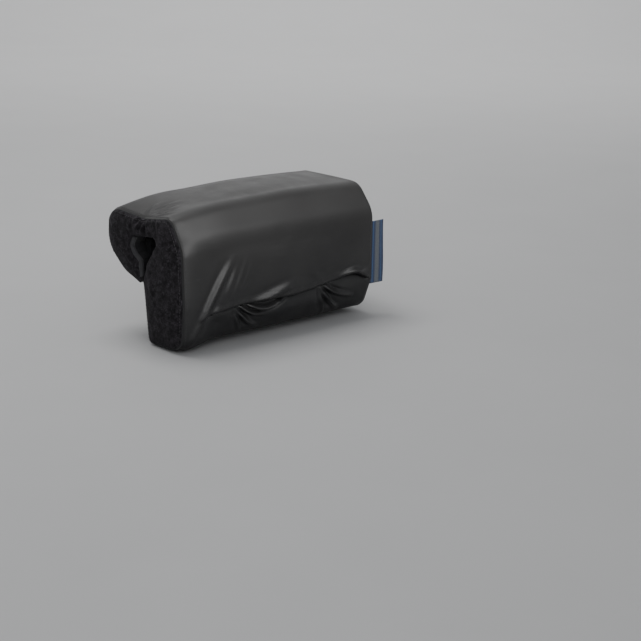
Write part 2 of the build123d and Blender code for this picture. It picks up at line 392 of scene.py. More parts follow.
# ---- meshes
def mesh_object(name, points, faces, material, uv=None):
    """A smooth-shaded piece. Points and uv may come as grids."""
    data = bpy.data.meshes.new(name)
    data.from_pydata(np.reshape(points, (-1, 3)).tolist(), [], [tuple(int(i) for i in f) for f in faces])
    if uv is not None:
        layer = data.uv_layers.new(name="UVMap")
        corner = np.zeros(len(data.loops), np.int32)
        data.loops.foreach_get("vertex_index", corner)
        layer.data.foreach_set("uv", np.reshape(uv, (-1, 2)).astype(np.float32)[corner].ravel())
    data.materials.append(material)
    data.polygons.foreach_set("use_smooth", [True] * len(data.polygons))
    obj = bpy.data.objects.new(name, data)
    bpy.context.scene.collection.objects.link(obj)
    return obj


def grid_faces(n, m, close=False):
    """Quads of a grid stored station by station, facing out for stations that run clockwise."""
    i, j = np.meshgrid(np.arange(n if close else n - 1), np.arange(m - 1), indexing="ij")
    a, b = i * m + j, ((i + 1) % n) * m + j
    return np.stack([a, b, b + 1, a + 1], -1).reshape(-1, 4)


def grid_uv(points):
    """Lengths along the cloth, in metres."""
    step = norm(np.diff(points, axis=0), axis=2).mean(1)
    along = np.concatenate([[0], np.cumsum(step)])[:, None]
    return np.stack(np.broadcast_arrays(along, points[..., 1]), -1)


def grid_object(name, points, material):
    n, m = points.shape[:2]
    return mesh_object(name, points, grid_faces(n, m), material, grid_uv(points))


def ring_faces(count, sides, start=0, capped=True):
    """Quads from each ring of points to the next, and a face over each end."""
    i, k = np.divmod(np.arange((count - 1) * sides), sides)
    a, b = start + i * sides + k, start + i * sides + (k + 1) % sides
    faces = np.stack([a, b, b + sides, a + sides], 1).tolist()
    if capped:
        faces += [list(range(sides))[::-1], list(range((count - 1) * sides, count * sides))]
    return faces


def places_in(mesh):
    at = np.zeros(len(mesh.vertices) * 3)
    mesh.vertices.foreach_get("co", at)
    return at.reshape(-1, 3)


def thicken(obj, thickness):
    """Gives cloth its thickness, inwards."""
    solid = obj.modifiers.new("thickness", "SOLIDIFY")
    solid.thickness, solid.offset = thickness, -1
    bpy.context.view_layer.update()
    made = bpy.data.meshes.new_from_object(obj.evaluated_get(bpy.context.evaluated_depsgraph_get()))
    obj.modifiers.clear()
    obj.data = made
    return obj


def fold_with_flap(obj):
    """The piece bends at the fold: below the channel each lobe's cloth stays with its own body."""
    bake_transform(obj, "pad_body", "outer_flap",
             start=(FOLD_X + FOLD_HALF, 0, TOP_Z), end=(FOLD_X - FOLD_HALF, 0, TOP_Z))
    weights = obj.data.attributes["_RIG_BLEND"]
    at = places_in(obj.data)
    w = np.zeros(len(at), np.float32)
    weights.data.foreach_get("value", w)
    low = at[:, 2] < LOBES_BELOW
    w[low] = (at[low, 0] < 0).astype(np.float32)
    weights.data.foreach_set("value", w)
    return obj


# ---- materials
class Finish:
    """A procedural material, with bumps one over another."""

    def __init__(self, name, coords="Object"):
        self.material = bpy.data.materials.new(name)
        self.material.use_nodes = True
        self.tree = self.material.node_tree
        self.shader = next(n for n in self.tree.nodes if n.type == "BSDF_PRINCIPLED")
        self.at = self.tree.nodes.new("ShaderNodeTexCoord").outputs[coords]
        self.bumped = None

    def put(self, socket, value):
        """Links another node's output, or sets a constant. A colour may leave out its alpha."""
        if hasattr(value, "is_output"):
            self.tree.links.new(value, socket)
        elif socket.type == "RGBA" and len(value) == 3:
            socket.default_value = (*value, 1)
        else:
            socket.default_value = value

    def node(self, kind, inputs, **settings):
        made = self.tree.nodes.new(kind)
        for key, value in settings.items():
            setattr(made, key, value)
        for key, value in inputs.items():
            self.put(made.inputs[key], value)
        return made

    def stretched(self, scale=(1, 1, 1), turn=(0, 0, 0)):
        inputs = {"Vector": self.at, "Scale": scale, "Rotation": turn}
        return self.node("ShaderNodeMapping", inputs).outputs[0]

    def noise(self, scale, detail=4.0, rough=0.55, at=None):
        inputs = {"Vector": at or self.at, "Scale": scale, "Detail": detail, "Roughness": rough}
        return self.node("ShaderNodeTexNoise", inputs).outputs["Fac"]

    def cells(self, scale, feature="F1", **inputs):
        inputs.update(Vector=self.at, Scale=scale)
        return self.node("ShaderNodeTexVoronoi", inputs, feature=feature).outputs["Distance"]

    def ranged(self, value, low, high, to_low=0.0, to_high=1.0):
        inputs = {"Value": value, "From Min": low, "From Max": high, "To Min": to_low, "To Max": to_high}
        return self.node("ShaderNodeMapRange", inputs).outputs["Result"]

    def math(self, operation, a, b):
        return self.node("ShaderNodeMath", {0: a, 1: b}, operation=operation).outputs[0]

    def mix(self, share, a, b):
        return self.node("ShaderNodeMix", {"Factor": share, 6: a, 7: b}, data_type="RGBA").outputs[2]

    def colour(self, value):
        self.put(self.shader.inputs["Base Color"], value)

    def rough(self, value, low, high):
        self.put(self.shader.inputs["Roughness"], self.ranged(value, 0.3, 0.7, low, high))

    def bump(self, height, distance, strength):
        inputs = {"Height": height, "Distance": distance, "Strength": strength}
        if self.bumped:
            inputs["Normal"] = self.bumped
        self.bumped = self.node("ShaderNodeBump", inputs).outputs["Normal"]
        self.put(self.shader.inputs["Normal"], self.bumped)

    def weave(self, pitch, slant=0.0):
        """Threads over and under at that pitch, in metres."""
        waves = []
        at = self.stretched(turn=(0, 0, slant))
        for way in "XY":
            inputs = {"Vector": at, "Scale": 0.314 / pitch,
                      "Distortion": 0.6, "Detail": 1.0, "Detail Scale": 2.0}
            wave = self.node("ShaderNodeTexWave", inputs, bands_direction=way, wave_profile="SIN")
            waves.append(wave.outputs["Fac"])
        return self.math("MAXIMUM", *waves)

    def fixed(self, **values):
        for key, value in values.items():
            self.put(self.shader.inputs[key.replace("_", " ")], value)


def vinyl():
    f = Finish("vinyl")
    patches = f.ranged(f.noise(14, 5), 0.35, 0.65)
    # painted shade: the vinyl's colour runs from near black at the bottom to a lighter grey at the top,
    # standing in for the hip face turning down under the tuck into shade and the top catching the light
    painted_shade_by_height = f.ranged(f.node("ShaderNodeSeparateXYZ", {"Vector": f.at}).outputs["Z"], -0.085, 0.050)
    base = f.mix(painted_shade_by_height, (0.0060, 0.0061, 0.0068), (0.0190, 0.0184, 0.0180))
    # random dust patches laid over that painted shade
    dust_over_painted_shade = f.mix(f.math("MULTIPLY", patches, 0.3), base, (0.026, 0.0255, 0.025))
    scuffs = f.ranged(f.noise(55, 8, 0.7, f.stretched((1, 0.25, 1))), 0.62, 0.74)
    f.colour(f.mix(f.math("MULTIPLY", scuffs, 0.25), dust_over_painted_shade, (0.045, 0.044, 0.043)))
    f.rough(f.noise(30, 6), 0.37, 0.48)
    f.bump(f.noise(90, 3), 0.00035, 0.35)
    f.bump(f.cells(1500.0, "SMOOTH_F1", Smoothness=0.6), 0.00010, 0.35)
    f.fixed(IOR=1.42, Coat_Weight=0.05, Coat_Roughness=0.45)
    return f.material


def velour():
    f = Finish("velour")
    mottle = f.ranged(f.noise(160, 6, 0.75), 0.42, 0.60)
    streaks = f.ranged(f.noise(60, 4, 0.6, f.stretched((1, 1, 0.6))), 0.38, 0.62)
    specks = f.math("MULTIPLY", mottle, f.ranged(f.noise(620, 3, 0.6), 0.30, 0.62))
    base = f.mix(specks, (0.0014, 0.0012, 0.0016), (0.0480, 0.0430, 0.0500))
    f.colour(f.mix(f.math("MULTIPLY", streaks, 0.45), base, (0.0200, 0.0175, 0.0205)))
    f.rough(f.noise(200), 0.82, 0.97)
    f.bump(f.noise(420, 6, 0.7), 0.0009, 0.8)
    f.bump(f.noise(1800, 2), 0.0003, 0.8)
    f.fixed(Sheen_Weight=0.06, Sheen_Roughness=0.45, Sheen_Tint=(0.85, 0.82, 0.88),
            Specular_IOR_Level=0.15)
    return f.material


def woven(name, dark, light, pitch, sheen=0.1, relief=0.00022, slant=0.0):
    f = Finish(name, "UV")
    threads = f.weave(pitch, slant)
    worn = f.ranged(f.noise(90, 5), 0.35, 0.65)
    base = f.mix(threads, dark, light)
    f.colour(f.mix(f.math("MULTIPLY", worn, 0.25), base, tuple(1.5 * c for c in light)))
    f.rough(f.noise(150), 0.72, 0.92)
    f.bump(threads, relief, 0.9)
    f.bump(f.noise(900, 3), 0.0001, 0.6)
    f.fixed(Sheen_Weight=sheen, Sheen_Roughness=0.5, Specular_IOR_Level=0.3)
    return f.material


def fuzzy(name, dark, light, scale, relief):
    """Hook or loop tape: a bed of little hooks or curled loops."""
    f = Finish(name)
    cells = f.cells(scale, Randomness=0.7)
    f.colour(f.mix(f.ranged(cells, 0.1, 0.7), light, dark))
    f.rough(f.noise(300), 0.75, 0.95)
    f.bump(cells, relief, 1.0)
    f.bump(f.noise(1400, 4), relief / 3, 0.8)
    f.fixed(Sheen_Weight=0.15, Sheen_Roughness=0.6)
    return f.material


def foam():
    f = Finish("foam")
    cells = f.cells(900.0)
    f.colour(f.mix(f.ranged(f.noise(40), 0.4, 0.6), (0.30, 0.29, 0.26), (0.42, 0.40, 0.34)))
    f.rough(cells, 0.85, 1.0)
    f.bump(cells, 0.0005, 1.0)
    return f.material


def mottled(name, patches, dark, light, rough, grain, **fixed):
    """Two colours in patches. Each of patches, rough and grain is a noise and the numbers it is put to."""
    f = Finish(name)
    f.colour(f.mix(f.ranged(f.noise(*patches[0]), *patches[1:]), dark, light))
    f.rough(f.noise(*rough[0]), *rough[1:])
    f.bump(f.noise(*grain[0]), *grain[1:])
    f.fixed(**fixed)
    return f.material


def label_cloth():
    """A woven ribbon: dark blue, with a plain pale band down its middle and a fine line each side of it."""
    f = Finish("label_ribbon", "UV")
    across = f.node("ShaderNodeSeparateXYZ", {"Vector": f.at}).outputs["X"]
    off_middle = f.math("ABSOLUTE", f.math("SUBTRACT", across, 0.5), 0.0)
    off_line = f.math("ABSOLUTE", f.math("SUBTRACT", off_middle, 0.32), 0.0)
    threads = f.weave(0.008)
    blue = f.mix(threads, (0.002, 0.007, 0.026), (0.004, 0.017, 0.058))
    pale = f.mix(threads, (0.030, 0.035, 0.044), (0.066, 0.075, 0.088))
    line = f.mix(threads, (0.008, 0.038, 0.100), (0.018, 0.072, 0.180))
    banded = f.mix(f.ranged(off_middle, 0.150, 0.160), pale, blue)
    f.colour(f.mix(f.ranged(off_line, 0.016, 0.022), line, banded))
    f.rough(f.noise(40), 0.5, 0.7)
    f.bump(threads, 0.00010, 0.7)
    f.fixed(Sheen_Weight=0.15)
    return f.material


VINYL, VELOUR, FOAM, LABEL = vinyl(), velour(), foam(), label_cloth()
METAL = mottled(         # dark plated metal, rubbed brighter here and there
    "zip_metal", ((500, 6, 0.7), 0.52, 0.66), (0.050, 0.050, 0.054), (0.26, 0.26, 0.27),
    ((700,), 0.28, 0.48), ((1600, 3), 0.00006, 0.6), Metallic=0.9)
THREAD = mottled(
    "thread", ((2500, 2), 0.35, 0.65), (0.010, 0.010, 0.011), (0.042, 0.040, 0.044),
    ((2500, 2), 0.55, 0.8), ((2500, 2), 0.00015, 0.8))
NYLON = mottled(
    "zip_nylon", ((300,), 0.4, 0.6), (0.010, 0.010, 0.011), (0.020, 0.020, 0.022),
    ((600,), 0.35, 0.55), ((2200, 2), 0.00005, 0.6))
PALE_FLOOR = mottled(
    "floor", ((6, 4), 0.0, 1.0), (0.66, 0.66, 0.66), (0.70, 0.70, 0.70),
    ((9,), 0.7, 0.85), ((60, 3), 0.0003, 0.2))
LINING = woven("lining", (0.008, 0.008, 0.009), (0.018, 0.018, 0.020), 0.0012)
WEBBING_CLOTH = woven("webbing", (0.008, 0.008, 0.009), (0.030, 0.030, 0.032),
                      0.0016, 0.2, 0.0004, math.pi / 4)
RIM = woven("rim_binding", (0.016, 0.016, 0.017), (0.052, 0.052, 0.056), 0.0010, 0.12)
ZIP_TAPE = woven("zip_tape", (0.009, 0.009, 0.010), (0.024, 0.024, 0.026), 0.0009)
HOOK = fuzzy("hook_tape", (0.006, 0.006, 0.007), (0.035, 0.035, 0.037), 700.0, 0.0007)
LOOP = fuzzy("loop_tape", (0.010, 0.010, 0.011), (0.032, 0.031, 0.033), 1100.0, 0.0006)


# ---- cover
SWELL_CAP = 0.0055       # the furthest that the simulation may move the vinyl
SIM_GRID = 96, 64        # stations and rows of the simulated copy
SIM_FRAMES = 20
SIM_SHRINK = 0.002       # it starts this much smaller


def spread(values, at, count):
    """Smooth values for every index below count, from the ones known at the places in at."""
    t = np.interp(np.arange(count), at, np.arange(len(at)))
    i = np.clip(np.floor(t).astype(int), 0, len(at) - 2)
    f = (t - i).reshape((-1,) + (1,) * (values.ndim - 1))
    p0, p1 = values[np.maximum(i - 1, 0)], values[i]
    p2, p3 = values[i + 1], values[np.minimum(i + 2, len(at) - 1)]
    return 0.5 * (2 * p1 + (p2 - p0) * f + (2 * p0 - 5 * p1 + 4 * p2 - p3) * f ** 2
                  + (3 * p1 - p0 - 3 * p2 + p3) * f ** 3)


def swollen(points):
    """The vinyl blown up over its foam: a coarse copy of the grid, simulated as cloth under pressure."""
    stations, rows = (spaced(*pair) for pair in zip(points.shape, SIM_GRID))
    coarse = points[np.ix_(stations, rows)]
    out = grid_normals(coarse)
    held_back = np.ones(coarse.shape[:2])
    free = (stations > LIP_OUT + 3) & (stations < SLOT_FROM - 14)
    held_back[free, 1:-1] = 0
    start = coarse - out * (SIM_SHRINK * (1 - held_back))[..., None]
    cloth = grid_object("cover_cloth", start, VINYL)
    pinned = cloth.vertex_groups.new(name="pinned")
    pinned.add([int(i) for i in np.flatnonzero(held_back.ravel())], 1.0, "REPLACE")
    sim = cloth.modifiers.new("cloth", "CLOTH")
    rules = sim.settings
    rules.vertex_group_mass = pinned.name
    rules.quality, rules.mass = 8, 0.3
    rules.tension_stiffness, rules.compression_stiffness = 25, 25
    rules.shear_stiffness, rules.bending_stiffness = 12, 4
    rules.use_pressure, rules.uniform_pressure_force = True, 4
    rules.shrink_min = -0.002
    rules.effector_weights.gravity = 0
    scene = bpy.context.scene
    for number in range(1, SIM_FRAMES + 1):
        scene.frame_set(number)
    settled = places_in(cloth.evaluated_get(bpy.context.evaluated_depsgraph_get()).data)
    raised = ((settled.reshape(coarse.shape) - coarse) * out).sum(2)
    bpy.data.objects.remove(cloth)
    scene.frame_set(1)
    raised = np.clip(raised, 0, SWELL_CAP)
    for _ in range(2):   # evened out
        raised[1:-1, 1:-1] = (raised[1:-1, 1:-1] * 4 + raised[:-2, 1:-1] + raised[2:, 1:-1]
                              + raised[1:-1, :-2] + raised[1:-1, 2:]) / 8
    raised = spread(raised, stations, points.shape[0])
    raised = spread(raised.T.copy(), rows, points.shape[1]).T
    return points + grid_normals(points) * raised[..., None]


cover_points = sculpt(swollen(roll_ends(cover_grid())))
cover_out = grid_normals(cover_points)
coils_low, coils_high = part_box("zip_coils")
PAST_COILS = 0.007       # the slot runs on this much past each end of the coils
SLOT_ENDS = coils_low.y - PAST_COILS, coils_high.y + PAST_COILS
row_y = cover_points[0, :, 1]
cover_faces = grid_faces(*cover_points.shape[:2])
station, row = cover_faces[:, 0] // len(row_y), cover_faces[:, 0] % len(row_y)
over_zip = (station >= SLOT_FROM) & (station < SLOT_TO)
over_zip &= (row_y[row] > SLOT_ENDS[0]) & (row_y[np.minimum(row + 1, len(row_y) - 1)] < SLOT_ENDS[1])
cover = mesh_object("cover", cover_points, cover_faces[~over_zip], VINYL, grid_uv(cover_points))
fold_with_flap(thicken(cover, CLOTH))
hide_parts("cover_hip", "cover_outer")


# ---- end gussets
LEAST_EDGE = 0.0011      # along the outline
FILL_STEP = 0.0021       # between the points inside it
# Creases of the front gusset: start, middle, end as (x, z), height and width, in millimetres
GUSSET_CREASES = [
    ((7, 43), (3, 36), (-4, 22), -2.4, 2.4),
    ((8, 43), (11, 36), (12, 24), -2.0, 2.2),
    ((3, 43), (-6, 40), (-14, 30), -1.6, 2.4),
    ((12, 44), (22, 40), (30, 30), -1.6, 2.4),
    ((26, 45), (33, 36), (38, 22), -1.2, 3.0),
    ((-20, 42), (-18, 34), (-16, 24), -1.2, 3.0),
    ((30, 12), (44, 6), (62, 8), -0.9, 3.0),
    ((-28, 4), (-44, 0), (-62, 6), -0.7, 3.0),
    ((10, -16), (22, -34), (26, -58), 0.8, 4.0),
]


def inside(points, outline):
    """Which points lie inside a closed outline."""
    x, z = points[:, 0], points[:, 1]
    found = np.zeros(len(points), bool)
    for (x0, z0), (x1, z1) in zip(outline, np.roll(outline, -1, axis=0)):
        crosses = (z0 > z) != (z1 > z)
        with np.errstate(divide="ignore", invalid="ignore"):
            found ^= crosses & (x < (x1 - x0) * (z - z0) / (z1 - z0) + x0)
    return found


def gap_to(points, line):
    """How far each point lies from an open line."""
    best = np.full(len(points), 1e9)
    for a, b in zip(line[:-1], line[1:]):
        run = b - a
        t = np.clip((points - a) @ run / max(run @ run, 1e-12), 0, 1)
        best = np.minimum(best, norm(points - a - t[:, None] * run, axis=1))
    return best


def thinned(line):
    """A line without the points that crowd the one before."""
    kept = [line[0]]
    for p in line[1:-1]:
        if norm(p - kept[-1]) > LEAST_EDGE:
            kept.append(p)
    if norm(line[-1] - kept[-1]) < LEAST_EDGE:
        kept.pop()
    return np.array(kept + [line[-1]])


def end_gusset(name, rim, hole, way, shape, dip):
    """An end panel between the cover's edge and the opening. way is -1 at the front and 1 at the rear."""
    rim_line, hole_line = thinned(rim[:, [0, 2]]), thinned(hole)
    outline = np.vstack([rim_line, hole_line[::-1]])
    outline = outline[norm(outline - np.roll(outline, 1, axis=0), axis=1) > 0.0002]
    low, high = outline.min(0), outline.max(0)
    xs, zs = np.meshgrid(np.arange(low[0], high[0], FILL_STEP),
                         np.arange(low[1], high[1], FILL_STEP * 0.866))
    xs[::2] += FILL_STEP / 2
    fill = np.stack([xs.ravel(), zs.ravel()], 1)
    fill = fill[inside(fill, outline)]
    fill = fill[gap_to(fill, np.vstack([outline, outline[:1]])) > 0.0012]
    everything = [Vector(p) for p in np.vstack([outline, fill])]
    verts, _, faces, *_ = delaunay_2d_cdt(everything, [], [list(range(len(outline)))], 1, 1e-7)
    flat = np.array([tuple(v) for v in verts])
    from_rim, from_hole = gap_to(flat, rim_line) / MM, gap_to(flat, hole_line) / MM
    out = shape(flat / MM, from_rim, from_hole)
    out += 0.55 * np.exp(-from_rim / 2.6) * np.sin((flat[:, 0] - flat[:, 1]) / MM / 0.75)
    out -= dip * np.clip(1 - from_hole / 2.4, 0, 1) ** 2
    end_y = FRONT if way < 0 else REAR
    edge = np.clip(1 - from_rim / 3, 0, 1)
    y = end_y + way * out * MM + (rim[:, 1].mean() - end_y) * edge
    order = [f[::-1] if way > 0 else f for f in faces]
    panel = mesh_object(name, in_space(flat, y), order, VELOUR, flat)
    return fold_with_flap(thicken(panel, CLOTH))


def dome(from_rim, from_hole, height, reach):
    return height * (1 - np.exp(-from_rim / reach)) * (1 - np.exp(-from_hole / reach))


def front_shape(at, from_rim, from_hole):
    """How far the front panel stands out, in millimetres, with its pulled creases."""
    x, z = at.T
    out = dome(from_rim, from_hole, 5.6, 6.5)
    out += bump_at(x, z, (44, -18), (30, 4.5), 1.3, -4)
    out += bump_at(x, z, (44, -26), (32, 4.0), -1.5, -6)
    out += bump_at(x, z, (46, -62), (22, 30), 0.9)
    out += bump_at(x, z, (2, 27), (30, 9), 2.0)
    out += ridges(x, z, GUSSET_CREASES, 0.6)
    return out + 0.35 * np.sin(x / 4.1 + 1.3 * np.sin(z / 6.3)) * np.sin(z / 5.2 + 0.8)


def rear_shape(at, from_rim, from_hole):
    """The same at the rear, kept flat beside the label."""
    x, z = at.T
    beside_label = smooth(x, 40, 70) * (1 - smooth(np.abs(z + 33.5), 30, 48))
    out = dome(from_rim, from_hole, 4.8, 7.5 + 8 * beside_label)
    out += 0.35 * np.sin(x / 5.3 + 1.1 * np.sin(z / 7.1)) * np.sin(z / 6.1 + 2.0)
    return out - bump_at(x, z, (60, -66), (16, 4), 1.6, 8)


MOUTH_COUNTS = counts_for(MOUTH, lambda part: 2.0)
mouth_line = sampled(MOUTH, MOUTH_COUNTS)
channel_line = sampled(CHANNEL, counts_for(CHANNEL, lambda part: 2.0))
front_gusset = end_gusset("front_gusset", cover_points[:, 0], mouth_line, -1, front_shape, 1.6)
rear_gusset = end_gusset("rear_gusset", cover_points[:, -1], channel_line, 1, rear_shape, 1.2)
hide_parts("front_gusset_hip", "front_gusset_outer")
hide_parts("rear_gusset_hip", "rear_gusset_outer")


# ---- lining and foam
def lining_grid():
    """The mouth's outline near the front, stepping out to the channel's behind it."""
    rows = [(y, 0.0) for y in rows_between(FRONT + 0.0015, FRONT + 0.0195, 0.003)]
    rows += [(FRONT + 0.0205 + 0.0012 * share, share) for share in (0.35, 1.0)]
    rows += [(y, 1.0) for y in rows_between(FRONT + 0.0265, REAR - 0.0015, 0.006)]
    points = np.stack([in_space(sampled(mixed(MOUTH, CHANNEL, share), MOUTH_COUNTS), y)
                       for y, share in rows], 1)
    return points + grid_normals(points) * 0.0001


lining = grid_object("channel_lining", lining_grid()[::-1], LINING)
fold_with_flap(thicken(lining, CLOTH))
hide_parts("channel_lining_hip", "channel_lining_outer")


def foam_core():
    """One block of foam round the channel, just under the cloth."""
    plain = cover_grid()
    stations = spaced(len(plain), 84)
    step = int(np.searchsorted(row_y, FRONT + 0.0190))
    rows = [2, step - 4, step - 1, step, step + 2, step + 3,
            *range(step + 7, len(row_y) - 6, 6), len(row_y) - 3]
    outer = plain[np.ix_(stations, rows)]
    deep = smooth(outer[..., 0], 0.045, 0.066) * (1 - smooth(outer[..., 2], -0.045, -0.015))
    outer -= grid_normals(plain)[np.ix_(stations, rows)] * (0.0050 + 0.0085 * deep)[..., None]
    hole_counts = counts_for(CHANNEL, lambda part: 3.0)
    holes = [MOUTH if place < step else STEP if place < step + 3 else CHANNEL for place in rows]
    inner = np.stack([in_space(sampled(hole, hole_counts), row_y[place])
                      for place, hole in zip(rows, holes)], 1)
    inner += section_normals(inner) * 0.0030
    points = np.concatenate([outer, inner[::-1]])
    n, m = points.shape[:2]
    everything = list(points.reshape(-1, 3))
    faces = [list(f) for f in grid_faces(n, m, close=True)]
    for end in (0, -1):
        corners = [Vector(p) for p in points[:, end][:, [0, 2]]]
        verts, _, caps, *_ = delaunay_2d_cdt(corners, [], [list(range(n))], 1, 1e-7)
        base = len(everything)
        everything += [(v.x, points[0, end, 1], v.y) for v in verts]
        faces += [[base + i for i in (f if end == 0 else f[::-1])] for f in caps]
    return fold_with_flap(mesh_object("foam_core", everything, faces, FOAM))


core = foam_core()
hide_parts("foam_top_hip", "foam_block_hip", "foam_cheek_hip",
            "foam_top_outer", "foam_block_outer", "foam_cheek_outer")


# ---- seams and stitches
# A stitch from end to end: places along it, girth, and lift off the cloth
STITCH = [(-0.5, 0.0, -0.9), (-0.42, 0.8, -0.35), (-0.2, 1.0, 0.35),
          (0.2, 1.0, 0.35), (0.42, 0.8, -0.35), (0.5, 0.0, -0.9)]


def along_line(line, spacing):
    """Points a set way apart along a line in space, with the line's direction at each."""
    run = run_along(line)
    places = np.arange(spacing / 2, run[-1], spacing)
    at, ahead, behind = (
        np.stack([np.interp(places + shift, run, line[:, k]) for k in range(3)], 1)
        for shift in (0, spacing / 2, -spacing / 2)
    )
    return at, unit(ahead - behind)


def spokes(sides, first, second):
    """Directions round a ring, from first to second and on."""
    angle = 2 * math.pi * np.arange(sides)[:, None] / sides
    return first * np.cos(angle) + second * np.sin(angle)


def stitches(name, lines, spacing, length, radius):
    """Short plump threads in rows; lines are (points, outward normals) pairs."""
    points, faces = [], []
    for line, normal in lines:
        for p, d in zip(*along_line(line, spacing)):
            n = normal[np.argmin(norm(line - p, axis=1))]
            ring = spokes(6, np.cross(d, n), n)
            faces += ring_faces(len(STITCH), 6, len(points), capped=False)
            for t, girth, lift in STITCH:
                points += list(p + d * t * length + n * lift * radius + ring * girth * radius)
    return mesh_object(name, points, faces, THREAD)


def cord(name, line, radius, sides, material):
    """A round cord along a line."""
    way = unit(np.gradient(line, axis=0))
    up = np.cross(way[0], (0.31, 0.17, 0.93))
    points = []
    for p, d in zip(line, way):
        up = unit(up - d * (up @ d))
        points += list(p + spokes(sides, up, np.cross(d, up)) * radius)
    return mesh_object(name, points, ring_faces(len(line), sides), material)


EDGE = slice(LIP_OUT, LIP_HIP + 1)
label_low, label_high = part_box("label_tab")
for end, last, inner, way, panel in (("front", 0, 2, -1, front_gusset), ("rear", -1, -3, 1, rear_gusset)):
    # partly painted shade: the welt is a real binding at the seam, and it is given the near-black lining
    # cloth so that it also stands in for the dark shadow line along the seam
    welt_line = cover_points[EDGE, last] - cover_out[EDGE, last] * 0.0004
    welt = fold_with_flap(cord(f"{end}_seam", welt_line, 0.0010, 6, LINING))
    row_line = cover_points[EDGE, inner] + cover_out[EDGE, inner] * 0.00005
    row = stitches(f"{end}_seam_stitches", [(row_line, cover_out[EDGE, inner])], 0.0040, 0.0027, 0.00028)
    fold_with_flap(row)
    flat = cover_points[EDGE, last] - section_normals(cover_points)[EDGE, last] * 0.0026
    face = places_in(panel.data)
    for p in flat:       # each point is laid on the gusset
        near = np.hypot(face[:, 0] - p[0], face[:, 2] - p[2]) < 0.0026
        p[1] = (way * face[near, 1]).max() * way + way * 0.0001
    under_label = (way > 0) & (flat[:, 0] > label_low.x - 0.006)
    under_label &= (flat[:, 2] > label_low.z - 0.002) & (flat[:, 2] < label_high.z + 0.002)
    parts = np.split(np.arange(len(flat)), np.flatnonzero(np.diff(under_label)) + 1)
    shown_lines = [(flat[part], np.tile([0.0, way, 0.0], (len(part), 1)))
                   for part in parts if not under_label[part[0]]]
    edge_row = stitches(f"{end}_gusset_stitches", shown_lines, 0.0042, 0.0028, 0.00030)
    fold_with_flap(edge_row)


# ---- rim tape
def mouth_rim():
    """Binding folded over the outer side of the front opening and down into the lip."""
    path = mouth_line[(mouth_line[:, 0] < -0.001) & (mouth_line[:, 1] < 0.0155)]
    path = path[np.argsort(-path[:, 1])]
    way = unit(np.gradient(path, axis=0))
    away = np.stack([-way[:, 1], way[:, 0]], 1)
    away *= np.sign((path * away).sum(1, keepdims=True))
    profile = [(2.4, -0.7), (2.3, -1.4), (1.3, -1.3), (0.5, -0.7),
               (-0.1, 0.2), (-0.5, 1.2), (-0.7, 2.4), (-0.7, 3.8)]
    wave = 0.25 * np.sin(np.arange(len(path)) * 0.9)
    return np.stack([in_space(path + away * ((off + wave * (k < 4)) * MM)[:, None], FRONT + back * MM)
                     for k, (off, back) in enumerate(profile)], 1)


rim_points = mouth_rim()
rim = grid_object("mouth_rim_tape_cloth", rim_points, RIM)
thicken(rim, 0.0006)
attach(rim, "outer_flap")
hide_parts("mouth_rim_tape")
rim_line = rim_points[:, 2] + [0, -0.0002, 0], np.tile([0.0, -1.0, 0.0], (len(rim_points), 1))
rim_row = stitches("rim_tape_stitches", [rim_line], 0.0030, 0.0020, 0.00024)
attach(rim_row, "outer_flap")


# ---- back of the long lobe
DOWN = -np.array(joints["zip_pull_swing"]["axis"])
OUT = np.array([DOWN[2], 0.0, -DOWN[0]])
strap_pivot = np.array(joints["strap_front_peel"]["pos_m"])
WEBBING = 0.0015         # thickness of the straps
STRAP_OUT = 0.00395      # from the lobe's back to the middle of a strap
SLAB_STEP = 0.0015       # between the points of a piece of tape
LIP = np.array([strap_pivot[0], 0, strap_pivot[2]]) - OUT * STRAP_OUT


def on_back(y, down, out):
    """A place on the back of the long lobe, from metres rearward, down and out."""
    return (LIP + np.multiply.outer(y, [0.0, 1.0, 0.0])
            + np.multiply.outer(down, DOWN) + np.multiply.outer(out, OUT))


def slab(name, ys, downs, outs, material, round_by=0.0006, wave=0.0):
    """A thin cut piece of tape between two values of y, down and out, with soft edges."""
    n, m = (max(4, round((high - low) / SLAB_STEP)) for low, high in (ys, downs))
    i, j = np.meshgrid(np.arange(n + 1), np.arange(m + 1), indexing="ij")
    edge = np.minimum(np.minimum(i, n - i), np.minimum(j, m - j))
    flat = (ys[1] - ys[0]) * i / n, (downs[1] - downs[0]) * j / m
    inset = round_by * 0.4 * (edge == 0)
    y = ys[0] + flat[0] + inset * (1 * (i == 0) - (i == n))
    down = downs[0] + flat[1] + inset * (1 * (j == 0) - (j == m))
    rounding = round_by * (0.8 * (edge == 0) + 0.25 * (edge == 1))
    lift = wave * np.sin(i * 1.3 + 0.6 * j) * np.sin(j * 1.1)
    points = np.stack([on_back(y, down, outs[0] + rounding), on_back(y, down, outs[1] - rounding + lift)])
    quads, count = grid_faces(n + 1, m + 1), (n + 1) * (m + 1)
    index = np.arange(count).reshape(n + 1, m + 1)
    ring = [*index[:-1, 0], *index[-1, :-1], *index[:0:-1, -1], *index[0, :0:-1]]
    faces = [*quads, *(quads[:, [0, 3, 2, 1]] + count)]
    faces += [(a, a + count, b + count, b) for a, b in zip(ring, ring[1:] + ring[:1])]
    return mesh_object(name, points, faces, material, [np.stack(flat, -1)] * 2)


def sewn_line(start, end, out, count=30):
    """A straight line on the back from one (y, down) to another, and its normals, for stitches."""
    flat = np.linspace(start, end, count)
    return on_back(flat[:, 0], flat[:, 1], out), np.tile(OUT, (count, 1))


def frame_of_stitches(name, y_low, y_high, down_low, down_high, out, cross=False):
    """A sewn rectangle, with a cross inside it where the piece takes a pull."""
    corners = [(y_low, down_low), (y_high, down_low), (y_high, down_high), (y_low, down_high)]
    runs = list(zip(corners, corners[1:] + corners[:1]))
    if cross:
        runs += [(corners[0], corners[2]), (corners[1], corners[3])]
    return stitches(name, [sewn_line(*run, out) for run in runs], 0.0030, 0.0021, 0.00026)


